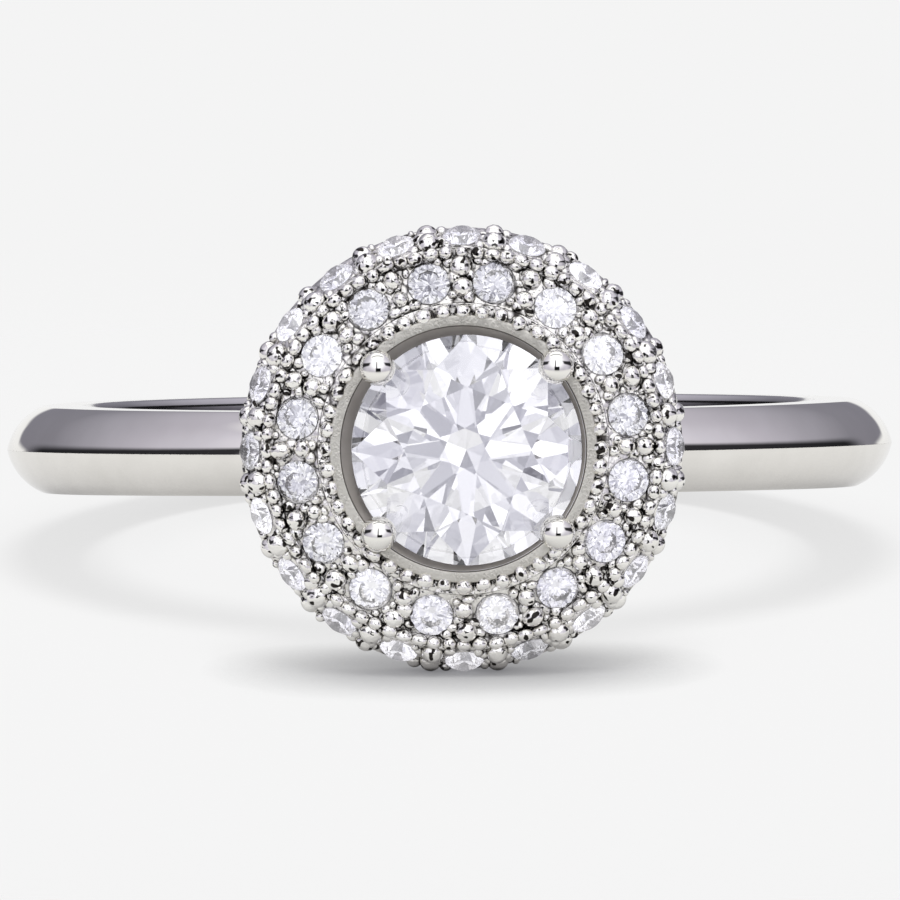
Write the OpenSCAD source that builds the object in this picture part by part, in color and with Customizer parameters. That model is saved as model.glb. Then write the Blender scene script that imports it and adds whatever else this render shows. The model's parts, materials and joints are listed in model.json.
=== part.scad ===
// Halo ring, lying on its side as it rests by itself on a flat surface.
// A knife-edge band carries a domed round head: a round brilliant in a plain
// collar under four ball prongs, with two rows of small brilliants around it.
// Units are millimetres, +Z is up, and the head faces -Y.
// The origin is at the middle of the underside of the whole ring's box.

/* [Band] */
// Inside diameter of the band, a US size 6
finger_d = 16.5; // [15.5:0.1:18]
// Thickness of the band, from the finger hole to the ridge
band_t = 1.9; // [1.8:0.05:2.1]
// Width of the band along the finger, at the back of the hand
band_w = 2.18; // [2.1:0.02:2.3]
// Lean of each side of the band, which narrows it towards the head, in degrees
side_lean = 0.5; // [0.1:0.1:0.8]
// Radius of each flank of the ridged outer side
flank_r = 1.36; // [1.3:0.02:1.44]
// Chamfer of the two inside edges
inner_edge = 0.2; // [0.16:0.01:0.24]

/* [Centre stone] */
// Diameter of the centre stone
center_d = 5.0; // [4.8:0.05:5]
// Height of the collar's top above the finger hole's axis
head_h = 12.7; // [12.7:0.05:13.4]
// Height of the head's axis above the middle of the band's width
head_rise = 0.15; // [0:0.01:0.2]
// Depth of the centre stone's girdle below the collar's top
girdle_drop = 0.3; // [0.25:0.01:0.36]
// Free play between a stone's girdle and the wall around it
stone_gap = 0.035; // [0.03:0.005:0.04]

/* [Collar and prongs] */
// Inner radius of the plain collar
collar_in_r = 2.65; // [2.6:0.01:2.66]
// Outer radius of the plain collar
collar_out_r = 2.9; // [2.86:0.01:2.92]
// Distance of the ball prongs from the head's axis
ball_r = 2.64; // [2.64:0.01:2.7]
// Angle of the ball prongs above and below the level diameter, in degrees
ball_angle = 43; // [40:1:45]
// Diameter of a ball prong
ball_d = 0.78; // [0.7:0.01:0.8]
// Height of the middle of a ball prong above the collar's top
ball_lift = 0.16; // [0.16:0.01:0.2]

/* [Inner row] */
// Number of stones in the inner row
inner_n = 16; // [12:1:16]
// Distance of the inner stones from the head's axis
inner_r = 3.65; // [3.64:0.01:3.66]
// Diameter of an inner stone
inner_d = 0.92; // [0.8:0.01:0.92]
// Outward lean of the inner row's surface, in degrees
inner_lean = 17; // [16:0.5:18]

/* [Outer row] */
// Number of stones in the outer row
outer_n = 20; // [16:1:20]
// Diameter of an outer stone
outer_d = 0.82; // [0.7:0.01:0.82]
// Outward lean of the outer row's surface, in degrees
outer_lean = 62; // [61:0.5:63]

/* [Grain] */
// Number of beads in the grain line around the collar
inner_grain_n = 44; // [36:1:44]
// Number of beads in the grain line between the two rows
outer_grain_n = 80; // [60:1:80]
// Diameter of a bead in the line around the collar
inner_grain_d = 0.34; // [0.3:0.01:0.34]
// Diameter of a bead in the line between the two rows
outer_grain_d = 0.29; // [0.24:0.01:0.3]

/* [Hidden] */

// Cut of a round brilliant, as shares of its radius, with angles in degrees
table_share = 0.55;
star_share = 0.754;
crown_angle = 34.5;
pavilion_angle = 40.8;
lower_share = 0.23;
girdle_share = 0.036;
crown_share = (1 - table_share) * tan(crown_angle);
pavilion_share = tan(pavilion_angle);
// Straight steps in each half facet's girdle arc
center_steps = 4;
small_steps = 1;

// Band
finger_r = finger_d / 2;
ridge_r = finger_r + band_t;
flank_z = flank_r - band_w / 2;
flank_x = ridge_r - sqrt(flank_r * flank_r - flank_z * flank_z);

// Centre stone's place on the head's axis
center_r = center_d / 2;
girdle_h = head_h - girdle_drop;
girdle_low_h = girdle_h - center_r * girdle_share / 2;
culet_h = girdle_low_h - center_r * pavilion_share;

// Surfaces of the domed halo, as [radius, height] pairs on the head's axis
grain_ledge_h = head_h - 0.12;
inner_grain_r = 2.98;
inner_floor_r = 3.16;
inner_floor_h = head_h - 0.2;
inner_end_r = 4.12;
inner_end_h = inner_floor_h - (inner_end_r - inner_floor_r) * tan(inner_lean);
outer_grain_r = 4.25;
outer_ledge_h = inner_end_h + 0.05;
slope_top = [4.37, outer_ledge_h - 0.02];
slope_len = 0.93;
slope_dir = [cos(outer_lean), -sin(outer_lean)];
slope_out = [sin(outer_lean), cos(outer_lean)];
slope_end = slope_top + slope_len * slope_dir;
rim_low = slope_end + [-0.03, -0.12];
rim_foot = slope_end + [-0.11, -0.3];
under_r = 4.5;
under_h = slope_end[1] - 0.42;

// Stones of the halo: how far the inner ones lie in, and where the outer ones sit
inner_stone_h = inner_floor_h - (inner_r - inner_floor_r) * tan(inner_lean);
outer_stone = slope_top + 0.5 * slope_dir;
seat_clear = 0.05;
cut_above = 0.4;

// Setting beads, as [radius, height] of the middle and the bead's own radius
inner_bead_in = [3.5, inner_stone_h + 0.075, 0.185];
inner_bead_out = [3.95, inner_stone_h - 0.045, 0.23];
outer_bead_front = concat(slope_top + 0.2 * slope_dir + 0.01 * slope_out, 0.27);
outer_bead_back = concat(slope_top + 0.74 * slope_dir - 0.06 * slope_out, 0.25);

// Hollow of the setting, open above and closed by the band
seat_in_r = 2.0;
seat_in_h = girdle_low_h - (center_r - seat_in_r) * pavilion_share - seat_clear;
well_r = 0.55;
well_h = culet_h - 0.15;

// Round hollow of the underside, from the halo to the foot on the band; it stops
// just short of the flat underside, so the two surfaces meet in a real corner
foot_h = finger_r + 0.5;
sweep_r = 3.1;
sweep_step = 0.02;
sweep_at = [under_r - 0.3, under_h - sweep_r - sweep_step];

// Rest: the lowest pair of rear beads and the back of the band touch the surface
rest_bead_angle = 180 / outer_n;
rest_reach = outer_bead_back[0] * cos(rest_bead_angle) - head_rise;
rest_a = outer_bead_back[1] + flank_x;
rest_b = rest_reach + flank_z;
rest_c = outer_bead_back[2] - flank_r;
tilt = atan2(rest_b, rest_a) + asin(rest_c / norm([rest_a, rest_b]));
axis_h = flank_r + flank_x * sin(tilt) - flank_z * cos(tilt);

// Middle of the box along Y, from the lower ball prongs to the back of the ridge
ball_h = head_h + ball_lift;
front_y = -(ball_h * cos(tilt) + (ball_r * sin(ball_angle) - head_rise) * sin(tilt) + ball_d / 2);
back_y = ridge_r * cos(tilt);
shift_y = -(front_y + back_y) / 2;

// Number of segments of round shapes
round_fn = 96;
bead_fn = 24;

INNER = [for (i = [0:inner_n - 1]) str("inner_stone_", i < 9 ? "0" : "", i + 1)];
OUTER = [for (i = [0:outer_n - 1]) str("outer_stone_", i < 9 ? "0" : "", i + 1)];

// Takes what stands on the head's axis, +Z outwards, to its place on the ring
module on_head() {
  translate([0, 0, head_rise]) rotate([90, 0, 0]) children();
}

// Takes the ring, finger hole upright, to its rest on the surface
module at_rest() {
  translate([0, shift_y, axis_h]) rotate([-tilt, 0, 0]) children();
}

// Outer radius and height of a brilliant's points at an angle of its girdle
function round_at(r, a) = [r * cos(a), r * sin(a)];
// Drop of the girdle's arc below the flat chord of a half facet
function dip(a, near, far_h) =
  let (u = cos(a - 11.25), u0 = cos(11.25)) far_h * (u - u0) / (u0 - near * u0);

// Points of a brilliant of radius 1: table, star corners, girdle top,
// girdle underside, lower corners and the point below
function brilliant_points(steps) =
  let (
    half = girdle_share / 2,
    star_h = crown_share * (1 - star_share * cos(22.5)) / (1 - table_share),
    lower_h = pavilion_share * (1 - lower_share * cos(22.5)),
    n = 16 * steps,
    step = 360 / n
  )
  concat(
    [for (k = [0:7]) concat(round_at(table_share, 45 * k), half + crown_share)],
    [for (k = [0:7]) concat(round_at(star_share, 45 * k + 22.5), half + star_h)],
    [for (j = [0:n - 1]) concat(round_at(1, j * step),
      half - dip((j * step) % 22.5, star_share, star_h))],
    [for (j = [0:n - 1]) concat(round_at(1, j * step),
      -half + dip((j * step) % 22.5, lower_share, lower_h))],
    [for (k = [0:7]) concat(round_at(lower_share, 45 * k + 22.5), -half - lower_h)],
    [[0, 0, -half - pavilion_share]]
  );

// Facets over the points above, each listed clockwise as seen from outside
function brilliant_faces(steps) =
  let (n = 16 * steps, top = 16, low = 16 + n, deep = 16 + 2 * n, tip = deep + 8)
  concat(
    [[for (k = [7:-1:0]) k]],
    [for (k = [0:7]) [k, (k + 1) % 8, 8 + k]],
    [for (k = [0:7]) [k, 8 + k, top + 2 * steps * k, 8 + (k + 7) % 8]],
    [for (i = [0:15]) let (s = 8 + floor(i / 2))
      concat([s], [for (j = [steps:-1:0]) top + (i * steps + j) % n])],
    [for (j = [0:n - 1]) [top + j, top + (j + 1) % n, low + (j + 1) % n, low + j]],
    [for (i = [0:15]) let (s = deep + floor(i / 2))
      concat([s], [for (j = [0:steps]) low + (i * steps + j) % n])],
    [for (k = [0:7]) [tip, deep + (k + 7) % 8, low + 2 * steps * k, deep + k]]
  );

// One round brilliant, its girdle's middle at the origin and its table up
module brilliant(r, steps) {
  polyhedron([for (p = brilliant_points(steps)) r * p], brilliant_faces(steps), 4);
}

// Hole that takes one small brilliant, with a little play all round
module seat(r) {
  play_r = r + stone_gap;
  tip = r * (girdle_share / 2 + pavilion_share) + seat_clear;
  rotate_extrude($fn = round_fn)
    polygon([[0, -tip], [play_r, -r * girdle_share / 2 - stone_gap / 2],
      [play_r, cut_above], [0, cut_above]]);
}

// Places on the two rows, counted from twelve o'clock
module at_inner(i) {
  rotate([0, 0, 90 + (i + 0.5) * 360 / inner_n])
    translate([inner_r, 0, inner_stone_h]) rotate([0, inner_lean, 0]) children();
}
module at_outer(i) {
  rotate([0, 0, 90 + i * 360 / outer_n])
    translate([outer_stone[0], 0, outer_stone[1]]) rotate([0, outer_lean, 0]) children();
}

// Knife-edge band, its hole along Z: two flanks that meet in a ridge, and two
// flat sides that lean together towards the head. It is turned from under the head.
module band() {
  difference() {
    rotate([0, 0, -90]) rotate_extrude($fn = round_fn * 2) {
      intersection() {
        translate([flank_x, flank_z]) circle(flank_r, $fn = round_fn);
        translate([flank_x, -flank_z]) circle(flank_r, $fn = round_fn);
        translate([flank_x, -band_w]) square([flank_r * 2, band_w * 2]);
      }
      polygon([[finger_r, -band_w / 2 + inner_edge], [finger_r + inner_edge, -band_w / 2],
        [flank_x, -band_w / 2], [flank_x, band_w / 2],
        [finger_r + inner_edge, band_w / 2], [finger_r, band_w / 2 - inner_edge]]);
    }
    for (side = [0, 1]) mirror([0, 0, side])
      translate([0, ridge_r, band_w / 2]) rotate([side_lean, 0, 0])
        translate([-ridge_r - 1, -2 * ridge_r, 0]) cube([2 * ridge_r + 2, 3 * ridge_r, 2]);
  }
}

// Domed halo, collar and trumpet-shaped foot, turned round the head's axis
module head_body() {
  rotate_extrude($fn = round_fn * 2)
    difference() {
      polygon([[0, foot_h], [sweep_at[0], foot_h], [sweep_at[0], under_h], [under_r, under_h],
        rim_foot, rim_low, slope_end, slope_top, [slope_top[0], outer_ledge_h],
        [inner_end_r, outer_ledge_h], [inner_end_r, inner_end_h],
        [inner_floor_r, inner_floor_h], [inner_floor_r, grain_ledge_h],
        [collar_out_r, grain_ledge_h], [collar_out_r, head_h],
        [collar_in_r, head_h], [0, head_h]]);
      translate(sweep_at) circle(sweep_r, $fn = round_fn);
    }
}

// Hollow under the centre stone, from the collar's top down to the band
module well() {
  rotate_extrude($fn = round_fn * 2)
    polygon([[0, well_h], [well_r, well_h], [seat_in_r, seat_in_h],
      [collar_in_r, seat_in_h + (collar_in_r - seat_in_r) * pavilion_share],
      [collar_in_r, head_h + 1], [0, head_h + 1]]);
}

// Ring of n beads at a radius and a height
module beads(n, r, h, bead_r, turn = 0) {
  for (i = [0:n - 1])
    rotate([0, 0, 90 + turn + i * 360 / n]) translate([r, 0, h]) sphere(bead_r, $fn = bead_fn);
}

// Raised beads that hold the small stones, two between each pair of neighbours
module setting_beads() {
  beads(inner_n, inner_bead_in[0], inner_bead_in[1], inner_bead_in[2]);
  beads(inner_n, inner_bead_out[0], inner_bead_out[1], inner_bead_out[2]);
  turn = 180 / outer_n;
  beads(outer_n, outer_bead_front[0], outer_bead_front[1], outer_bead_front[2], turn);
  beads(outer_n, outer_bead_back[0], outer_bead_back[1], outer_bead_back[2], turn);
}

// Fine lines of grain, around the collar and between the two rows
module grain() {
  beads(inner_grain_n, inner_grain_r, grain_ledge_h + 0.03, inner_grain_d / 2);
  beads(outer_grain_n, outer_grain_r, outer_ledge_h + 0.02, outer_grain_d / 2);
}

// Four ball prongs on the collar, near the diagonals
module ball_prongs() {
  for (a = [ball_angle, 180 - ball_angle, 180 + ball_angle, 360 - ball_angle])
    rotate([0, 0, a]) translate([ball_r, 0, ball_h]) sphere(ball_d / 2, $fn = bead_fn);
}

// All the metal, cast and soldered in one piece
module metal_ring() {
  color("silver") at_rest() {
    difference() {
      union() {
        band();
        on_head() head_body();
      }
      on_head() {
        well();
        for (i = [0:inner_n - 1]) at_inner(i) seat(inner_d / 2);
        for (i = [0:outer_n - 1]) at_outer(i) seat(outer_d / 2);
      }
    }
    on_head() {
      ball_prongs();
      setting_beads();
      grain();
    }
  }
}

// Round brilliant in the collar
module center_stone() {
  color("lavender") at_rest() on_head() translate([0, 0, girdle_h]) brilliant(center_r, center_steps);
}

// One stone of the inner row
module inner_stone(i) {
  color("lavender") at_rest() on_head() at_inner(i) brilliant(inner_d / 2, small_steps);
}

// One stone of the outer row
module outer_stone(i) {
  color("lavender") at_rest() on_head() at_outer(i) brilliant(outer_d / 2, small_steps);
}

metal_ring();
center_stone();
for (i = [0:inner_n - 1]) inner_stone(i);
for (i = [0:outer_n - 1]) outer_stone(i);
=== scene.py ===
"""Looks of the halo ring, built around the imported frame. Runs in Blender 4.5."""

import json
import math
import random

import bmesh
import bpy
from mathutils import Matrix, Vector


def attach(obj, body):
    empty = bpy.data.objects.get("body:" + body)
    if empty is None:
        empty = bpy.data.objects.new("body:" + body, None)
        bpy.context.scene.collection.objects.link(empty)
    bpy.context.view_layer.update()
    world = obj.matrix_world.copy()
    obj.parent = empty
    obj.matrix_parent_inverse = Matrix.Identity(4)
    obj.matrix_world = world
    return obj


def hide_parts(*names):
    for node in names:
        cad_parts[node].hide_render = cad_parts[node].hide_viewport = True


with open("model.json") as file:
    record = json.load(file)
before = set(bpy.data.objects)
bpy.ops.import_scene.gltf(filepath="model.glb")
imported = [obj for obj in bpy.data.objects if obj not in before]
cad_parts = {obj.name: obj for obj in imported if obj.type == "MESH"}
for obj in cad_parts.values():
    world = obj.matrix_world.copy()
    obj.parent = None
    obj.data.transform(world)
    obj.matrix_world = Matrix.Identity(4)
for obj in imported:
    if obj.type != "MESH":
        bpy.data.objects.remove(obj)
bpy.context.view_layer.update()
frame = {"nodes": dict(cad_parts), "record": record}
random.seed(16)

# Steps round the band, the head, a small stone's seat and a corner, and what counts as near
BAND_STEPS = 360
TURN_STEPS = 300
SEAT_STEPS = 48
SOFT_STEPS = 4
NEAR = 0.01

# Sizes, in millimetres and degrees, on the ring's own axes
MM = 0.001
BORE = frame["record"]["mounts"][0]
FINGER_R = BORE["dims"]["r_mm"]
BAND_W = 2.18
BAND_T = 1.9
SIDE_LEAN = 0.5
FLANK_R = 1.36
FLANK_Z = FLANK_R - BAND_W / 2
RIDGE_R = FINGER_R + BAND_T
FLANK_X = RIDGE_R - math.sqrt(FLANK_R**2 - FLANK_Z**2)
RIDGE_SOFT = 0.12
SIDE_SOFT = 0.03
EDGE_SOFT = 0.24

CENTER_R = 2.5
HEAD_H = 12.7
HEAD_RISE = 0.15
COLLAR_IN_R = 2.65
COLLAR_OUT_R = 2.9
COLLAR_LOW_H = HEAD_H - 0.5
COLLAR_BED_R = COLLAR_IN_R + 0.03
COLLAR_SOFT = 0.05
BALL_R = 2.64
BALL_H = HEAD_H + 0.16
BALL_ANGLES = (43, 137, 223, 317)
BALL_SIZE = 0.39
SET_OFF = (0.08, -0.03, 0)
GRAIN_LEDGE_H = HEAD_H - 0.12
FLOOR_R = 3.16
FLOOR_H = HEAD_H - 0.2
FLOOR_END_R = 4.12
INNER_LEAN = 17


def floor_height(r):
    """Height of the sloping floor under the inner row of small stones."""
    return FLOOR_H - (r - FLOOR_R) * math.tan(math.radians(INNER_LEAN))


OUTER_LEDGE_H = floor_height(FLOOR_END_R) + 0.05
OUTER_LEAN = 62
SLOPE_TOP = Vector((4.37, OUTER_LEDGE_H - 0.02))
SLOPE_LEN = 0.93
SLOPE_DIR = Vector((math.cos(math.radians(OUTER_LEAN)), -math.sin(math.radians(OUTER_LEAN))))
SLOPE_OUT = Vector((-SLOPE_DIR.y, SLOPE_DIR.x))
SLOPE_END = SLOPE_TOP + SLOPE_LEN * SLOPE_DIR

GIRDLE_LOW_H = HEAD_H - 0.345
PAVILION = math.tan(math.radians(40.8))
SEAT_IN_R = 2.0
SEAT_IN_H = GIRDLE_LOW_H - (CENTER_R - SEAT_IN_R) * PAVILION - 0.05
SEAT_EDGE_R = 2.36
SEAT_EDGE_STEP = 0.03
SEAT_EDGE_RINGS = 6
WELL_R = 0.55
WELL_H = GIRDLE_LOW_H - CENTER_R * PAVILION - 0.15
FOOT_H = FINGER_R + 0.5
SWEEP_R = 3.1
UNDER_R = 4.5
UNDER_H = SLOPE_END.y - 0.42
UNDER_INWARD = (3.4, UNDER_H + 0.3)
HEM = ((0.03, 0.12), (0.11, 0.3))
SHELL_SOFT = 0.02
SWEEP_AT = (UNDER_R - 0.3, UNDER_H - SWEEP_R - 0.02)

INNER_N = 16
INNER_R = 3.65
INNER_STONE_R = 0.46
INNER_STONE_H = floor_height(INNER_R)
OUTER_N = 20
OUTER_STONE = SLOPE_TOP + 0.5 * SLOPE_DIR
OUTER_STONE_R = 0.41
SEAT_GRIP = 0.012
SEAT_SPARE = 0.06
SEAT_WALL = (-0.03, 0.01)
SEAT_BEVEL = (0.3, 0.2)
STONE_CLEAR = 0.02
GRAIN_SIZE = 0.15
GRAIN_SIZES = (0.75, 1.25)
GRAIN_CLEAR = 0.12
GRAIN_SINK = 0.02
GRAIN_TRIES = 6000
GRAINS_INSIDE = 0.55
GRAIN_MARGIN = 0.1
TWELVE_O_CLOCK = 90

# From the ring's own axes to the frame: the finger hole's axis leans back at rest
LEAN = math.atan2(BORE["axis"][1], BORE["axis"][2])
RING = Matrix.Translation(BORE["pos_m"]) @ Matrix.Rotation(-LEAN, 4, "X") @ Matrix.Scale(MM, 4)
HEAD = RING @ Matrix.Translation((0, 0, HEAD_RISE)) @ Matrix.Rotation(math.pi / 2, 4, "X")


# Node trees
class Graph:
    """Short calls that add nodes to a tree and link them."""

    def __init__(self, tree):
        self.tree = tree
        tree.nodes.clear()

    def add(self, kind, **settings):
        node = self.tree.nodes.new(kind)
        for name, value in settings.items():
            setattr(node, name, value)
        return node

    def feed(self, socket, value):
        """Links a socket to another one, or sets it to a plain value."""
        if isinstance(value, bpy.types.NodeSocket):
            self.tree.links.new(value, socket)
        else:
            socket.default_value = value

    def math(self, operation, *values):
        node = self.add("ShaderNodeMath", operation=operation)
        for socket, value in zip(node.inputs, values):
            self.feed(socket, value)
        return node.outputs[0]

    def step(self, value, low, high):
        """Smooth rise from 0 at low to 1 at high."""
        node = self.add("ShaderNodeMapRange", interpolation_type="SMOOTHSTEP")
        for name, v in (("Value", value), ("From Min", low), ("From Max", high)):
            self.feed(node.inputs[name], v)
        return node.outputs[0]

    def between(self, value, low, high, soft):
        """1 from low to high, falling to 0 over soft on either side."""
        rise = self.step(value, low - soft / 2, low + soft / 2)
        fall = self.step(value, high - soft / 2, high + soft / 2)
        return self.math("MULTIPLY", rise, self.math("SUBTRACT", 1.0, fall))

    def ramp(self, value, stops):
        """Colour by a value from 0 to 1, from stops of places and colours."""
        node = self.add("ShaderNodeValToRGB")
        elements = node.color_ramp.elements
        while len(elements) < len(stops):
            elements.new(0.5)
        for element, (place, colour) in zip(elements, stops):
            element.position = place
            element.color = (*colour, 1)
        self.feed(node.inputs["Fac"], value)
        return node.outputs["Color"]

    def table(self, value, rows):
        """Colour by a value, from rows of values and colours."""
        low, high = rows[0][0], rows[-1][0]
        share = self.math("MULTIPLY", self.math("SUBTRACT", value, low), 1 / (high - low))
        return self.ramp(share, [((place - low) / (high - low), colour) for place, colour in rows])

    def mix(self, share, first, second):
        """Colour from first, at share 0, to second, at share 1."""
        node = self.add("ShaderNodeMix", data_type="RGBA")
        self.feed(node.inputs["Factor"], share)
        self.feed(node.inputs["A"], first if not isinstance(first, tuple) else (*first, 1))
        self.feed(node.inputs["B"], second if not isinstance(second, tuple) else (*second, 1))
        return node.outputs["Result"]

    def noise(self, size_mm, detail=3.0, roughness=0.5):
        """Noise on the object's own coordinates, with features about size_mm across."""
        place = self.add("ShaderNodeTexCoord").outputs["Object"]
        node = self.add("ShaderNodeTexNoise")
        self.feed(node.inputs["Vector"], place)
        self.feed(node.inputs["Scale"], 1 / (size_mm * MM))
        self.feed(node.inputs["Detail"], detail)
        self.feed(node.inputs["Roughness"], roughness)
        return node.outputs["Fac"]

    def drift(self, size_mm, first, second):
        """Colour that drifts between two tones, in patches about size_mm across."""
        return self.ramp(self.noise(size_mm), [(0.3, first), (0.7, second)])

    def wear(self, low, high):
        """Roughness that goes from low to high over small worn patches."""
        return self.ramp(self.noise(0.25), [(0.35, (low,) * 3), (0.75, (high,) * 3)])

    def grains(self, size_mm):
        """Distance from the middle of the nearest grain, from 0 to about 0.8."""
        place = self.add("ShaderNodeTexCoord").outputs["Object"]
        node = self.add("ShaderNodeTexVoronoi")
        self.feed(node.inputs["Vector"], place)
        self.feed(node.inputs["Scale"], 1 / (size_mm * MM))
        return node.outputs["Distance"]


def new_material(name):
    material = bpy.data.materials.new(name)
    material.use_nodes = True
    graph = Graph(material.node_tree)
    shader = graph.add("ShaderNodeBsdfPrincipled")
    output = graph.add("ShaderNodeOutputMaterial")
    graph.feed(output.inputs["Surface"], shader.outputs[0])
    return material, graph, shader


PATCH_MM = 0.9
CREASE_MM = 0.25


def metal(name, dark, light, rough, bump_mm, bump_size, crease_shade=None, grain_mm=0.0, metallic=1.0,
          glow=0.0, dark_reflection_marks=0.0):
    """Polished or satin metal: tone, gloss and fine waviness all vary a little.

    The crease shade is painted shade: it darkens the tight hollows and the gaps
    between the grains. Grain covers the metal with small round grains of about that size.
    Glow stands in for light that comes back through a stone, and marks is the share of small dark marks,
    painted dark reflections.
    """
    material, graph, shader = new_material(name)
    colour = graph.drift(PATCH_MM, dark, light)
    height = graph.noise(bump_size, 2.0)
    if grain_mm:
        reach = graph.grains(grain_mm)
        height = graph.math("MULTIPLY_ADD", graph.math("MULTIPLY", reach, reach), -1.0, height)
        # Painted shade: the crease shade colour darkens the gaps between the grains.
        colour = graph.mix(graph.step(reach, 0.55, 0.9), colour, crease_shade)
    # Painted reflections: small dark marks stand in for dark things mirrored in the metal.
    if dark_reflection_marks:
        edge = 0.74 - dark_reflection_marks
        colour = graph.mix(graph.step(graph.noise(0.2, 1.0), edge, edge + 0.03), colour, crease_shade)
    # Painted shade: ambient occlusion darkens the tight hollows with the crease shade colour.
    if crease_shade:
        depth = graph.add("ShaderNodeAmbientOcclusion", samples=4)
        depth.inputs["Distance"].default_value = CREASE_MM * MM
        colour = graph.mix(graph.step(depth.outputs["AO"], 0.2, 0.7), crease_shade, colour)
    graph.feed(shader.inputs["Base Color"], colour)
    shader.inputs["Metallic"].default_value = metallic
    graph.feed(shader.inputs["Emission Color"], colour)
    shader.inputs["Emission Strength"].default_value = glow
    graph.feed(shader.inputs["Roughness"], graph.wear(*rough))
    bump = graph.add("ShaderNodeBump")
    bump.inputs["Strength"].default_value = 1
    bump.inputs["Distance"].default_value = bump_mm * MM
    graph.feed(bump.inputs["Height"], height)
    graph.feed(shader.inputs["Normal"], bump.outputs["Normal"])
    return material


def shaded_bore_metal(name):
    """Metal of the finger hole's wall: bright at its two edges and painted darker further in, as shade."""
    material, graph, shader = new_material(name)
    place = graph.add("ShaderNodeTexCoord").outputs["Object"]
    along = graph.add("ShaderNodeVectorMath", operation="DOT_PRODUCT")
    graph.feed(along.inputs[0], place)
    along.inputs[1].default_value = BORE["axis"]
    middle = Vector(BORE["axis"]).dot(Vector(BORE["pos_m"]))
    out = graph.math("ABSOLUTE", graph.math("SUBTRACT", along.outputs["Value"], middle))
    # Painted shade: the wall's dark colour stands in for shade and dark reflections inside the finger hole.
    wall = graph.drift(PATCH_MM, (0.16, 0.155, 0.16), (0.20, 0.195, 0.20))
    edge = graph.drift(PATCH_MM, (0.84, 0.83, 0.81), (0.90, 0.89, 0.87))
    share = graph.step(out, (BAND_W / 2 - 0.30) * MM, (BAND_W / 2 - 0.04) * MM)
    graph.feed(shader.inputs["Base Color"], graph.mix(share, wall, edge))
    shader.inputs["Metallic"].default_value = 1
    graph.feed(shader.inputs["Roughness"], graph.wear(0.10, 0.16))
    return material


def gem(name, clear, tinted, glow=0.0):
    """Clear cut stone, with a trace of tint that drifts through it."""
    material, graph, shader = new_material(name)
    graph.feed(shader.inputs["Base Color"], graph.drift(2.0, clear, tinted))
    shader.inputs["Roughness"].default_value = 0
    shader.inputs["IOR"].default_value = 2.417
    shader.inputs["Transmission Weight"].default_value = 1
    shader.inputs["Emission Color"].default_value = (0.95, 0.94, 1.0, 1)
    shader.inputs["Emission Strength"].default_value = glow
    return material


POLISHED = metal("polished_white_gold", (0.80, 0.78, 0.74), (0.85, 0.83, 0.79), (0.02, 0.05), 0.0006, 0.5)
BEADED = metal("beaded_white_gold", (0.88, 0.86, 0.82), (0.95, 0.94, 0.90), (0.02, 0.06), 0.05, 0.22,
               (0.03, 0.027, 0.024), dark_reflection_marks=0.11)
BALL = metal("ball_white_gold", (0.86, 0.85, 0.80), (0.92, 0.90, 0.86), (0.02, 0.04), 0.001, 0.4,
             (0.06, 0.055, 0.05))
GRAINED = metal("grained_white_gold", (0.84, 0.82, 0.78), (0.94, 0.92, 0.88), (0.04, 0.12), 0.05, 0.2,
                (0.06, 0.055, 0.05), 0.2)
SATIN = metal("satin_white_gold", (0.68, 0.66, 0.60), (0.82, 0.80, 0.74), (0.26, 0.36), 0.015, 0.05,
              metallic=0.5)
# Painted shade: the collar's inner top edge is near black, where the stone meets it.
SHADED_COLLAR_EDGE = metal("collar_edge_painted_shade", (0.07, 0.06, 0.05), (0.14, 0.12, 0.10), (0.3, 0.4), 0.002, 0.3,
                    metallic=0.3)
# Painted shade: the outer edge of the centre stone's seat is darker, as if in shade, with a little painted
# glow.
SHADED_SEAT_EDGE = metal("seat_edge_painted_shade", (0.36, 0.33, 0.30), (0.46, 0.43, 0.40), (0.3, 0.4), 0.002, 0.3,
                  metallic=0.3, glow=0.07)
# Painted light: the seat under the centre stone and the collar's inner wall glow, standing in for light
# coming back through the stone.
GLOWING_SEAT = metal("seat_painted_glow", (0.84, 0.84, 0.86), (0.90, 0.90, 0.93), (0.3, 0.4), 0.002, 0.3,
             metallic=0.3, glow=0.35)
SHADED_BORE_WALL = shaded_bore_metal("finger_hole_painted_shade")
GEM = gem("clear_stone", (1.0, 1.0, 1.0), (0.97, 0.965, 1.0))
TINTS = [("white", (1.0, 1.0, 1.0), (0.98, 0.98, 1.0)), ("grey", (0.97, 0.97, 0.99), (0.93, 0.93, 0.96)),
         ("lilac", (0.97, 0.965, 1.0), (0.94, 0.935, 0.99))]


def tinted_gems(row, glows):
    """White, grey and lilac stones for one row, each with its own glow."""
    return [gem(f"{row}_stone_{tint}", clear, tinted, glow)
            for (tint, clear, tinted), glow in zip(TINTS, glows)]


# Columns: name, count, middle, lean, steps past twelve o'clock, radius, materials
STONE_ROWS = [
    ("inner", INNER_N, (INNER_R, INNER_STONE_H), INNER_LEAN, 0.5, INNER_STONE_R,
     tinted_gems("inner", (0.055, 0.015, 0.035))),
    ("outer", OUTER_N, OUTER_STONE, OUTER_LEAN, 0, OUTER_STONE_R, tinted_gems("outer", (0.12, 0.05, 0.08))),
]


# Profiles, as (radius, height) points round an axis
def arc(centre, radius, start, end, steps):
    """Points of an arc, between two angles in degrees."""
    angles = [math.radians(start + (end - start) * i / steps) for i in range(steps + 1)]
    return [(centre[0] + radius * math.cos(a), centre[1] + radius * math.sin(a)) for a in angles]


def curve(start, corner, end, steps):
    """Points of a curve that rounds a corner."""
    shares = [k / steps for k in range(steps + 1)]
    return [tuple((1 - t) ** 2 * start + 2 * t * (1 - t) * corner + t * t * end) for t in shares]


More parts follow.
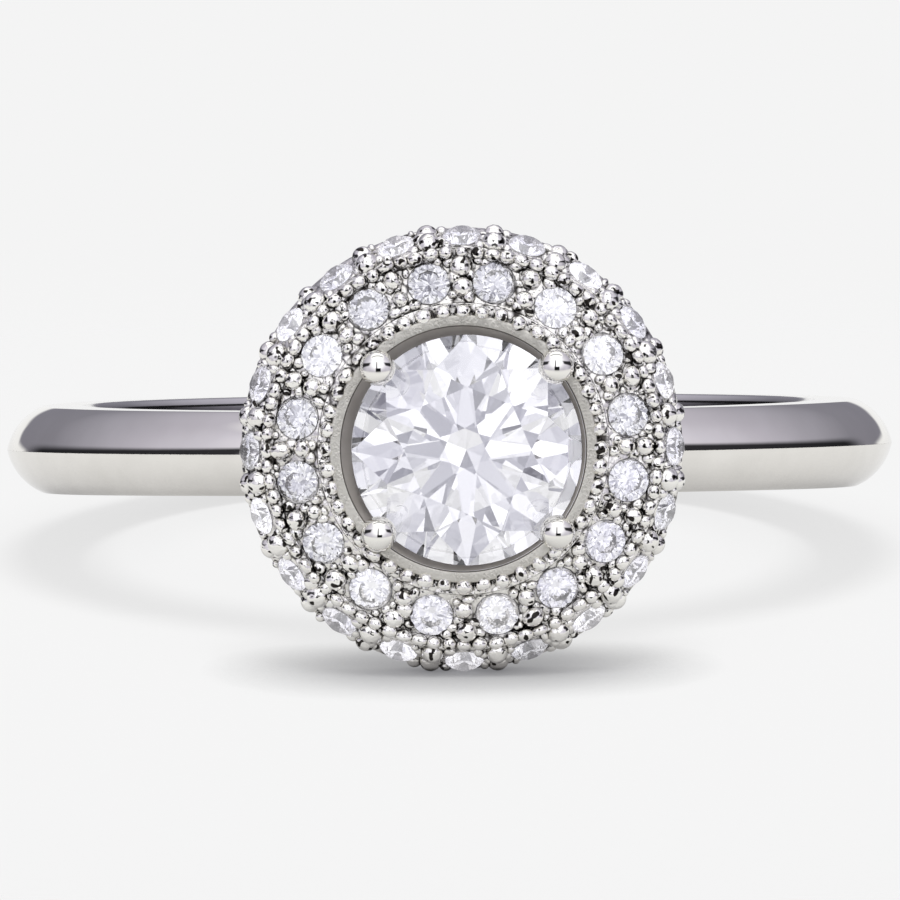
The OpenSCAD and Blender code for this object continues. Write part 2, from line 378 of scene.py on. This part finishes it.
def softened(points, cut):
    """Closed profile with each corner rounded, cut back by cut or less on short sides."""
    out = []
    count = len(points)
    for i in range(count):
        before, here, after = (Vector(points[(i + k) % count]) for k in (-1, 0, 1))
        start = here + (before - here) * min(0.4, cut / (before - here).length)
        end = here + (after - here) * min(0.4, cut / (after - here).length)
        out += curve(start, here, end, SOFT_STEPS)
    return out


def revolve(profile, steps):
    """Turns a closed profile round +Z; a point on the axis becomes one vertex."""
    bm = bmesh.new()
    poles = {i: bm.verts.new((0, 0, h)) for i, (r, h) in enumerate(profile) if r == 0}
    columns = []
    for s in range(steps):
        turn = 2 * math.pi * s / steps
        column = []
        for i, (r, h) in enumerate(profile):
            point = (r * math.cos(turn), r * math.sin(turn), h)
            column.append(poles[i] if i in poles else bm.verts.new(point))
        columns.append(column)
    count = len(profile)
    for s in range(steps):
        here, there = columns[s], columns[(s + 1) % steps]
        for i in range(count):
            j = (i + 1) % count
            corners = []
            for vertex in (here[i], there[i], there[j], here[j]):
                if vertex not in corners:
                    corners.append(vertex)
            if len(corners) > 2:
                bm.faces.new(corners)
    bmesh.ops.recalc_face_normals(bm, faces=bm.faces)
    return bm


def new_mesh(name, bm):
    """Turns bm into a mesh and frees it."""
    mesh = bpy.data.meshes.new(name)
    bm.to_mesh(mesh)
    bm.free()
    return mesh


def new_object(name, data):
    """Makes an object of a mesh, light or camera, in the scene."""
    thing = bpy.data.objects.new(name, data)
    bpy.context.scene.collection.objects.link(thing)
    return thing


def finish_faces(bm, finish):
    """Gives each face the number of its finish."""
    for face in bm.faces:
        face.material_index = finish(face)
    return bm


def add_piece(name, bm, place, materials, sharp=35):
    """Makes a mesh piece of the metal, on the frame's root body."""
    bm.transform(place)
    mesh = new_mesh(name, bm)
    mesh.shade_smooth()
    mesh.set_sharp_from_angle(angle=math.radians(sharp))
    for material in materials:
        mesh.materials.append(material)
    piece = new_object(name, mesh)
    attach(piece, "root")
    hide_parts("metal_ring")


# Band
def side_height(r, turn):
    """Height of the band's flat side, which leans down towards the head."""
    return BAND_W / 2 - (RIDGE_R - r * math.sin(turn)) * math.tan(math.radians(SIDE_LEAN))


def band_column(turn):
    """Upper half of the band's section at one angle, from the ridge to the finger hole."""
    low, high = math.asin(FLANK_Z / FLANK_R), math.pi / 2
    start = low
    for _ in range(30):
        middle = (low + high) / 2
        r, h = FLANK_X + FLANK_R * math.cos(middle), FLANK_R * math.sin(middle) - FLANK_Z
        low, high = (middle, high) if h < side_height(r, turn) else (low, middle)
    end = low - SIDE_SOFT / FLANK_R
    tip_x = FLANK_X + math.sqrt((FLANK_R - RIDGE_SOFT) ** 2 - FLANK_Z**2)
    ridge = arc((tip_x, 0), RIDGE_SOFT, 0, math.degrees(start), 6)[:-1]
    flank = arc((FLANK_X, -FLANK_Z), FLANK_R, math.degrees(start), math.degrees(end), 36)
    corner_r = FLANK_X + FLANK_R * math.cos(low)
    corner = Vector((corner_r, side_height(corner_r, turn)))
    after = Vector((corner_r - SIDE_SOFT, side_height(corner_r - SIDE_SOFT, turn)))
    soft = curve(Vector(flank[-1]), corner, after, 5)
    edge = max(0.03, EDGE_SOFT - BAND_W / 2 + side_height(FINGER_R, turn))
    inner_h = side_height(FINGER_R + edge, turn)
    inner = arc((FINGER_R + edge, inner_h - edge), edge, 90, 180, 6)
    return ridge + flank + soft[1:] + [(corner_r - 2 * SIDE_SOFT, side_height(corner_r, turn))] + inner


def band_mesh(steps):
    """Band as a ring of sections, each with its two halves alike."""
    bm = bmesh.new()
    columns = []
    for i in range(steps):
        turn = 2 * math.pi * i / steps
        upper = band_column(turn)
        section = [(r, -h) for r, h in reversed(upper)][:-1] + upper
        columns.append([bm.verts.new((r * math.cos(turn), r * math.sin(turn), h)) for r, h in section])
    for i in range(steps):
        here, there = columns[i], columns[(i + 1) % steps]
        for j in range(len(here)):
            k = (j + 1) % len(here)
            bm.faces.new((here[j], there[j], there[k], here[k]))
    bmesh.ops.recalc_face_normals(bm, faces=bm.faces)
    return bm


def band_finish(face):
    """1 on the finger hole's wall and its rounded edges, 0 elsewhere."""
    return int(face.calc_center_median().xy.length < FINGER_R + EDGE_SOFT - NEAR)


add_piece("band", finish_faces(band_mesh(BAND_STEPS), band_finish), RING, (POLISHED, SHADED_BORE_WALL), 60)


# Head
def on_ring(count, at, lean, index, offset=0.0):
    """Place of one of count things round the head, leaning outwards, from twelve o'clock."""
    turn = math.radians(TWELVE_O_CLOCK + offset + 360 * index / count)
    tilt = Matrix.Rotation(math.radians(lean), 4, "Y")
    return Matrix.Rotation(turn, 4, "Z") @ Matrix.Translation((at[0], 0, at[1])) @ tilt


def cone_height(r):
    """Height of the centre stone's conical seat."""
    return SEAT_IN_H + (r - SEAT_IN_R) * PAVILION


def shell_profile():
    """Head's outline, closed: well, seat, collar's bed, both rows, underside and foot.

    The last corner only gives its neighbour a direction, so its own points go.
    """
    rings = [SEAT_IN_R] + [SEAT_EDGE_R + SEAT_EDGE_STEP * k for k in range(SEAT_EDGE_RINGS)]
    well = [(WELL_R, WELL_H)] + [(r, cone_height(r)) for r in rings]
    front = softened([
        (COLLAR_BED_R, cone_height(COLLAR_BED_R)), (COLLAR_BED_R, GRAIN_LEDGE_H),
        (FLOOR_R, GRAIN_LEDGE_H), (FLOOR_R, FLOOR_H),
        (FLOOR_END_R, floor_height(FLOOR_END_R)), (FLOOR_END_R, OUTER_LEDGE_H),
        (SLOPE_TOP.x, OUTER_LEDGE_H), tuple(SLOPE_TOP), tuple(SLOPE_END),
        *((SLOPE_END.x - inward, SLOPE_END.y - down) for inward, down in HEM),
        (UNDER_R, UNDER_H), UNDER_INWARD], SHELL_SOFT)
    front = front[:-SOFT_STEPS - 1]
    foot = math.degrees(math.asin((FOOT_H - SWEEP_AT[1]) / SWEEP_R))
    return well + front + arc(SWEEP_AT, SWEEP_R, 90, 180 - foot, 40) + [(WELL_R, FOOT_H)]


def seat_profile(radius):
    """Hole for one small stone: a cone under it, a straight wall and a bright-cut bevel."""
    wall = radius - SEAT_GRIP
    low, high = SEAT_WALL
    out, top = SEAT_BEVEL
    return [(0, -radius * PAVILION - SEAT_SPARE), (wall, low), (wall, high), (wall + out, top), (0, top)]


def merge(target, bm, place):
    """Adds a copy of bm, moved to place, to target."""
    mesh = bpy.data.meshes.new("merge")
    bm.to_mesh(mesh)
    mesh.transform(place)
    target.from_mesh(mesh)
    bpy.data.meshes.remove(mesh)


def seat_cutter():
    """All the small stones' holes in one mesh."""
    every = bmesh.new()
    for _, count, at, lean, first, radius, _ in STONE_ROWS:
        seat = revolve(seat_profile(radius), SEAT_STEPS)
        for i in range(count):
            merge(every, seat, on_ring(count, at, lean, i + first))
        seat.free()
    return every


def cut(body, tool):
    """Takes tool away from body, both in millimetres, and gives the result."""
    objects = [new_object(name, new_mesh(name, bm)) for name, bm in (("cut_body", body), ("cut_tool", tool))]
    modifier = objects[0].modifiers.new("cut", "BOOLEAN")
    modifier.operation = "DIFFERENCE"
    modifier.solver = "MANIFOLD"
    modifier.object = objects[1]
    result = bmesh.new()
    result.from_object(objects[0], bpy.context.evaluated_depsgraph_get())
    for piece in objects:
        mesh = piece.data
        bpy.data.objects.remove(piece)
        bpy.data.meshes.remove(mesh)
    return result


def shell_finish(face):
    """Number of a shell face's finish: grained, seat, the seat's edge painted darker as shade, or plain
    underneath.
    """
    middle = face.calc_center_median()
    looks_in = face.normal.xy.dot(middle.xy) < 0.001
    if middle.xy.length < COLLAR_BED_R + NEAR / 2 and looks_in and middle.z > WELL_H - NEAR:
        return 1 if (middle - Vector(SET_OFF)).xy.length < CENTER_R - NEAR else 2
    return 3 if face.normal.z < 0.05 and middle.z < SLOPE_END.y + NEAR else 0


def collar_finish(face):
    """Number of a collar face's finish: satin, the inner edge painted dark as shade, or the inner wall,
    which glows like the seat.
    """
    middle = face.calc_center_median()
    if middle.xy.length > COLLAR_IN_R + COLLAR_SOFT / 2:
        return 0
    return 1 if middle.z > HEAD_H - COLLAR_SOFT else 2


shell = cut(revolve(shell_profile(), TURN_STEPS), seat_cutter())
shell.normal_update()
add_piece("head_shell", finish_faces(shell, shell_finish), HEAD, (GRAINED, GLOWING_SEAT, SHADED_SEAT_EDGE, POLISHED))
collar = revolve(softened([(COLLAR_IN_R, COLLAR_LOW_H), (COLLAR_OUT_R, COLLAR_LOW_H),
                           (COLLAR_OUT_R, HEAD_H), (COLLAR_IN_R, HEAD_H)], COLLAR_SOFT), TURN_STEPS)
add_piece("collar", finish_faces(collar, collar_finish), HEAD, (SATIN, SHADED_COLLAR_EDGE, GLOWING_SEAT))


def add_beads(name, places, radius, spread, shape=(1, 1, 1), drift=0.0, level=3, material=BEADED):
    """Joined round beads, each a little different in size, turn and place."""
    beads = bmesh.new()
    ball = bmesh.new()
    bmesh.ops.create_icosphere(ball, subdivisions=level, radius=radius)
    for place in places:
        size = [k * (1 + random.uniform(-spread, spread / 2)) for k in shape]
        off = Matrix.Translation([random.uniform(-drift, drift) for _ in range(3)])
        angle = random.uniform(-spread, spread)
        lean = Matrix.Rotation(angle, 4, Vector((random.random(), random.random(), 1)))
        merge(beads, ball, place @ off @ lean @ Matrix.Diagonal((*size, 1)))
    ball.free()
    add_piece(name, beads, HEAD, (material,), 180)


ROUND = (1, 1, 1)
BEAD_TURN = 180 / OUTER_N
INNER_GRAIN = (2.98, GRAIN_LEDGE_H + 0.03)
OUTER_GRAIN = (4.25, OUTER_LEDGE_H + 0.02)
NEAR_BEAD = (3.5, INNER_STONE_H + 0.075)
FAR_BEAD = (3.95, INNER_STONE_H - 0.045)
FRONT_BEAD = SLOPE_TOP + 0.2 * SLOPE_DIR + 0.01 * SLOPE_OUT
BACK_BEAD = SLOPE_TOP + 0.74 * SLOPE_DIR - 0.06 * SLOPE_OUT
# Columns: name, count, middle, lean, turn, bead radius, spread, shape, drift, and the radius
# that is kept clear of small grains
BEAD_ROWS = [
    ("inner_grain", 44, INNER_GRAIN, 0, 0, 0.19, 0.16, (0.92, 1, 1), 0.02, 0),
    ("outer_grain", 80, OUTER_GRAIN, 30, 0, 0.18, 0.18, (0.8, 1, 0.9), 0.02, 0),
    ("inner_beads_near", INNER_N, NEAR_BEAD, INNER_LEAN, 0, 0.205, 0.16, ROUND, 0.03, 0.12),
    ("inner_beads_far", INNER_N, FAR_BEAD, INNER_LEAN, 0, 0.24, 0.16, ROUND, 0.03, 0.15),
    ("outer_beads_front", OUTER_N, FRONT_BEAD, OUTER_LEAN, BEAD_TURN, 0.27, 0.1, ROUND, 0, 0.17),
    ("outer_beads_back", OUTER_N, BACK_BEAD, OUTER_LEAN, BEAD_TURN, 0.25, 0, ROUND, 0, 0.15),
]
for name, count, at, lean, turn, radius, spread, shape, drift, _ in BEAD_ROWS:
    add_beads(name, [on_ring(count, at, lean, i, turn) for i in range(count)], radius, spread, shape, drift)


# Small grains raised from the metal between the stones and the setting beads
def taken_places():
    """Middle and radius of everything that stands on the halo already."""
    taken = []
    for _, count, at, _, first, radius, _ in STONE_ROWS:
        taken += [(on_ring(count, at, 0, i + first).translation, radius - STONE_CLEAR) for i in range(count)]
    for _, count, at, _, turn, *_, clear in BEAD_ROWS:
        if clear:
            taken += [(on_ring(count, at, 0, i, turn).translation, clear) for i in range(count)]
    return taken


def grain_places():
    """Random free places on both rows, each with a random size."""
    taken = taken_places()
    places = []
    for _ in range(GRAIN_TRIES):
        share = random.random()
        if random.random() < GRAINS_INSIDE:
            r = FLOOR_R + GRAIN_MARGIN + share * (FLOOR_END_R - FLOOR_R - GRAIN_MARGIN)
            at = (r, floor_height(r))
            lean = INNER_LEAN
        else:
            at = SLOPE_TOP + (0.08 + 0.84 * share) * SLOPE_LEN * SLOPE_DIR
            lean = OUTER_LEAN
        place = on_ring(1, at, lean, random.random())
        size = random.uniform(*GRAIN_SIZES)
        reach = GRAIN_CLEAR * size
        if all((place.translation - middle).length > radius + reach * 0.8 for middle, radius in taken):
            taken.append((place.translation, reach * 0.85))
            places.append(place @ Matrix.Translation((0, 0, -GRAIN_SINK)) @ Matrix.Scale(size, 4))
    return places


add_beads("small_grains", grain_places(), GRAIN_SIZE, 0.3, (1, 1, 0.95))


# The centre stone and its prongs, set by hand a little off the collar's middle
def prong_place(angle):
    """Middle of one ball prong, on the rim of the centre stone."""
    turn = Matrix.Rotation(math.radians(angle), 4, "Z")
    return Matrix.Translation(SET_OFF) @ turn @ Matrix.Translation((BALL_R, 0, BALL_H))


add_beads("ball_prongs", [prong_place(angle) for angle in BALL_ANGLES], BALL_SIZE, 0, level=5, material=BALL)


def set_stone(node_name, name, change, material):
    """Puts a stone's own solid back with a small change of its seat, as set by hand."""
    mesh = frame["nodes"][node_name].data.copy()
    mesh.name = name
    mesh.transform(change)
    mesh.materials.clear()
    mesh.materials.append(material)
    stone = new_object(name, mesh)
    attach(stone, "root")
    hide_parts(node_name)


def hand_set(node_name, at, lean):
    """Small random turn, lean and size of one stone, about its own axis."""
    points = [v.co for v in frame["nodes"][node_name].data.vertices]
    middle = HEAD.inverted() @ (sum(points, Vector()) / len(points))
    turn = Matrix.Rotation(math.atan2(middle.y, middle.x), 4, "Z")
    tilt = Matrix.Rotation(math.radians(lean), 4, "Y")
    place = HEAD @ turn @ Matrix.Translation((at[0], 0, at[1])) @ tilt
    spin = Matrix.Rotation(random.uniform(0, math.pi / 4), 4, "Z")
    nod = Matrix.Rotation(math.radians(random.uniform(-5, 5)), 4, random.choice("XY"))
    return place @ nod @ spin @ Matrix.Scale(random.uniform(1.02, 1.07), 4) @ place.inverted()


OFF_MIDDLE = HEAD @ Matrix.Translation(SET_OFF) @ HEAD.inverted()
set_stone("center_stone", "center_brilliant", OFF_MIDDLE, GEM)
for row, count, at, lean, _, _, gems in STONE_ROWS:
    for number in range(1, count + 1):
        node_name = f"{row}_stone_{number:02d}"
        change = hand_set(node_name, at, lean)
        set_stone(node_name, f"{row}_brilliant_{number:02d}", change, random.choice(gems))


# Light: a tent of soft panels, given by direction, round a pale floor. The rows of PANELS
# go by the angle from the front and those of OVERHEAD by the height, both in degrees.
PANELS = [(-60, (1.45, 1.45, 1.5)), (0, (1.35, 1.35, 1.42)), (25, (1.1, 1.1, 1.18)),
          (45, (0.84, 0.82, 0.92)), (60, (0.71, 0.69, 0.79)), (75, (0.63, 0.61, 0.70)),
          (86, (0.555, 0.535, 0.62)), (105, (0.405, 0.395, 0.46)), (125, (0.26, 0.255, 0.30)),
          (150, (0.235, 0.23, 0.27))]
OVERHEAD = [(0, (0.05, 0.05, 0.052)), (20, (0.15, 0.15, 0.155)), (45, (0.36, 0.36, 0.36)),
            (90, (0.5, 0.5, 0.5))]
WHITE = (1.3, 1.3, 1.33)
LOW_FRONT = (0.50, 0.48, 0.56)
BEHIND = (0.95, 0.95, 0.95)
SPARKLE = [(0.30, (0.10, 0.10, 0.13)), (0.42, (0.40, 0.40, 0.47)), (0.52, (0.84, 0.84, 0.91)),
           (0.66, (1.5, 1.5, 1.53))]
BACKDROP = (0.905, 0.905, 0.905)
BLACK = (0.01, 0.01, 0.012)


def side_panels(graph, turn, up):
    """Panels that darken from the front to the back, and lean back as they rise."""
    far = graph.math("MAXIMUM", graph.math("MULTIPLY", graph.math("SUBTRACT", turn, 100.0), 1 / 60), 0.0)
    lean = graph.math("MULTIPLY_ADD", graph.math("MULTIPLY", far, far), 1.15, 0.65)
    panels = graph.table(graph.math("SUBTRACT", turn, graph.math("MULTIPLY", up, lean)), PANELS)
    front = graph.math("SUBTRACT", 1.0, graph.step(turn, 50.0, 75.0))
    low = graph.math("SUBTRACT", 1.0, graph.step(up, -25.0, 22.0))
    return graph.mix(graph.math("MULTIPLY", front, low), panels, LOW_FRONT)


def pale_strip(graph, side, turn, up):
    """1 on the pale strip behind the ring, low down."""
    edge = graph.math("MULTIPLY", graph.math("SUBTRACT", turn, 162.0), 0.5)
    edge = graph.math("MAXIMUM", graph.math("MINIMUM", edge, 1.0), -2.5)
    above = graph.math("SUBTRACT", graph.math("MULTIPLY_ADD", side, 0.002, up), edge)
    low = graph.math("SUBTRACT", 1.0, graph.step(above, -1.5, 1.5))
    return graph.math("MULTIPLY", graph.step(turn, 143.0, 149.0), low)


def dark_gaps(graph, side, turn, up, ahead, rise):
    """The flag beside the ring, the camera, its stand, and the edge of the top panel."""
    flag_top = graph.math("MULTIPLY_ADD", turn, -0.42, 63.0)
    below_flag = graph.between(graph.math("SUBTRACT", flag_top, up), 1.0, 20.0, 7.0)
    flag_turn = graph.math("MULTIPLY_ADD", side, 0.035, turn)
    arch = graph.math("MULTIPLY_ADD", ahead, 0.98, graph.math("MULTIPLY", rise, 0.19))
    return [
        (0.97, graph.between(flag_turn, 56.0, 138.0, 14.0), below_flag),
        (1.0, graph.between(side, -12.0, 20.0, 3.0), graph.between(up, -40.0, 8.0, 4.0)),
        (0.9, graph.between(side, -10.0, -2.0, 3.0), graph.between(up, 0.0, 50.0, 12.0)),
        (0.85, graph.between(arch, 0.06, 0.16, 0.03), graph.step(up, 60.0, 64.0)),
    ]


def tent_colour(graph, side, up, ahead, rise):
    """Colour of the tent by direction, as the metal reflects it.

    Side is the angle from the front, turn the same without its sign, and up the
    height, all in degrees. Ahead and rise are parts of the direction itself.
    """
    turn = graph.math("ABSOLUTE", side)
    tent = graph.mix(graph.step(up, 52.0, 64.0), side_panels(graph, turn, up), WHITE)
    tent = graph.mix(pale_strip(graph, side, turn, up), tent, BEHIND)
    for strength, across, along in dark_gaps(graph, side, turn, up, ahead, rise):
        gap = graph.math("MULTIPLY", across, along)
        tent = graph.mix(graph.math("MULTIPLY", gap, strength), tent, BLACK)
    return tent


def build_world():
    """Light by direction: the tent for metal, sparks for stones, a soft sky for the rest."""
    world = bpy.data.worlds.new("light_tent")
    bpy.context.scene.world = world
    world.use_nodes = True
    world.cycles.sampling_method = "NONE"
    graph = Graph(world.node_tree)
    direction = graph.add("ShaderNodeTexCoord").outputs["Generated"]
    axes = graph.add("ShaderNodeSeparateXYZ")
    graph.feed(axes.inputs[0], direction)
    x, y, z = axes.outputs
    ahead = graph.math("MULTIPLY", y, -1.0)
    degrees = 180 / math.pi
    up = graph.math("MULTIPLY", graph.math("ARCSINE", z), degrees)
    side = graph.math("MULTIPLY", graph.math("ARCTAN2", x, ahead), degrees)
    path = graph.add("ShaderNodeLightPath").outputs
    colour = tent_colour(graph, side, up, ahead, z)
    colour = graph.mix(path["Is Diffuse Ray"], colour, graph.table(up, OVERHEAD))
    spots = graph.add("ShaderNodeTexNoise")
    graph.feed(spots.inputs["Vector"], direction)
    graph.feed(spots.inputs["Scale"], 3.2)
    graph.feed(spots.inputs["Detail"], 2.0)
    colour = graph.mix(path["Is Transmission Ray"], colour, graph.ramp(spots.outputs["Fac"], SPARKLE))
    colour = graph.mix(path["Is Camera Ray"], colour, BACKDROP)
    light = graph.add("ShaderNodeBackground")
    graph.feed(light.inputs["Color"], colour)
    graph.feed(graph.add("ShaderNodeOutputWorld").inputs[0], light.outputs[0])


def build_lamp():
    """Soft light from above and a little in front, for the plain surfaces only."""
    data = bpy.data.lights.new("top_light", "SUN")
    data.energy = 1.6
    data.angle = math.radians(24)
    lamp = new_object("top_light", data)
    lamp.rotation_euler = (math.radians(14), 0, 0)
    lamp.visible_glossy = False
    lamp.visible_transmission = False


FLOOR_SIZE = 70
FADE_START, FADE_END = 22, 46
CONTACT_SHADOW_REACH = 2.7
SHADE_REACH = 8
OPEN_FLOOR = (0.745, 0.745, 0.745)


def build_floor():
    """Pale round floor that fades into the backdrop at its edge, with painted shadows in its glow."""
    bm = bmesh.new()
    bmesh.ops.create_circle(bm, cap_ends=True, segments=96, radius=FLOOR_SIZE * MM)
    floor = new_object("floor", new_mesh("floor", bm))
    material, graph, shader = new_material("pale_floor")
    shader.inputs["Base Color"].default_value = (0.2, 0.2, 0.2, 1)
    shader.inputs["Roughness"].default_value = 0.9
    shader.inputs["Specular IOR Level"].default_value = 0.05
    # Painted shadow: ambient occlusion darkens the floor's glow near the ring, in full under the head and a
    # tenth of it elsewhere.
    contact = graph.add("ShaderNodeAmbientOcclusion", samples=8)
    contact.inputs["Distance"].default_value = CONTACT_SHADOW_REACH * MM
    painted_contact_shadow = graph.ramp(contact.outputs["AO"], [(0.15, (0.20, 0.20, 0.21)), (0.69, (0.42, 0.42, 0.425)),
                                              (0.84, (0.60, 0.60, 0.60)), (0.97, OPEN_FLOOR)])
    # Painted shade: the floor as the metal reflects it is darker near the ring.
    wide = graph.add("ShaderNodeAmbientOcclusion", samples=4)
    wide.inputs["Distance"].default_value = SHADE_REACH * MM
    painted_shade_in_metal = graph.ramp(wide.outputs["AO"], [(0.3, (0.18, 0.175, 0.18)), (0.97, (0.72, 0.72, 0.72))])
    place = graph.add("ShaderNodeTexCoord").outputs["Object"]
    axes = graph.add("ShaderNodeSeparateXYZ")
    graph.feed(axes.inputs[0], place)
    full_shadow_mask = graph.step(axes.outputs["Y"], -3 * MM, -7 * MM)
    soft = graph.mix(0.1, OPEN_FLOOR, painted_contact_shadow)
    floor_with_painted_shadow = graph.mix(full_shadow_mask, soft, painted_contact_shadow)
    camera_ray = graph.add("ShaderNodeLightPath").outputs["Is Camera Ray"]
    graph.feed(shader.inputs["Emission Color"], graph.mix(camera_ray, painted_shade_in_metal, floor_with_painted_shadow))
    shader.inputs["Emission Strength"].default_value = 1
    reach = graph.add("ShaderNodeVectorMath", operation="LENGTH")
    graph.feed(reach.inputs[0], place)
    fade = graph.step(reach.outputs["Value"], FADE_START * MM, FADE_END * MM)
    solid = graph.math("SUBTRACT", 1.0, fade)
    graph.feed(shader.inputs["Alpha"], solid)
    floor.data.materials.append(material)


# Camera, at the photograph's angle
CAMERA_TURN = -1.4
CAMERA_RISE = 11.07
CAMERA_ROLL = -0.25
CAMERA_FAR = 220
SENSOR_W = 36
PX_PER_MM = 43.55
RING_PX = (449.5, 445.5)
PHOTO_PX = 900


def build_camera():
    """Camera that looks at the finger hole's middle, moved to where the photograph has it."""
    data = bpy.data.cameras.new("camera")
    camera = new_object("camera", data)
    turn, rise = math.radians(CAMERA_TURN), math.radians(CAMERA_RISE)
    back = Vector((math.sin(turn) * math.cos(rise), -math.cos(turn) * math.cos(rise), math.sin(rise)))
    roll = Matrix.Rotation(math.radians(CAMERA_ROLL), 3, "Z")
    rotation = (-back).to_track_quat("-Z", "Y").to_matrix() @ roll
    right, up = rotation.col[0], rotation.col[1]
    off = Vector(((PHOTO_PX / 2 - RING_PX[0]) / PX_PER_MM, (RING_PX[1] - PHOTO_PX / 2) / PX_PER_MM))
    aim = Vector(BORE["pos_m"]) + (right * off.x + up * off.y) * MM
    camera.matrix_world = Matrix.Translation(aim + back * CAMERA_FAR * MM) @ rotation.to_4x4()
    data.sensor_width = SENSOR_W
    data.lens = SENSOR_W * CAMERA_FAR * PX_PER_MM / PHOTO_PX
    data.clip_start, data.clip_end = 0.01, 10
    bpy.context.scene.camera = camera


build_world()
build_lamp()
build_floor()
build_camera()

scene = bpy.context.scene
scene.view_settings.view_transform = "Standard"
scene.cycles.max_bounces = 24
scene.cycles.transmission_bounces = 24
scene.cycles.glossy_bounces = 8
scene.cycles.diffuse_bounces = 3
scene.cycles.transparent_max_bounces = 8
scene.cycles.caustics_reflective = True
scene.cycles.caustics_refractive = True
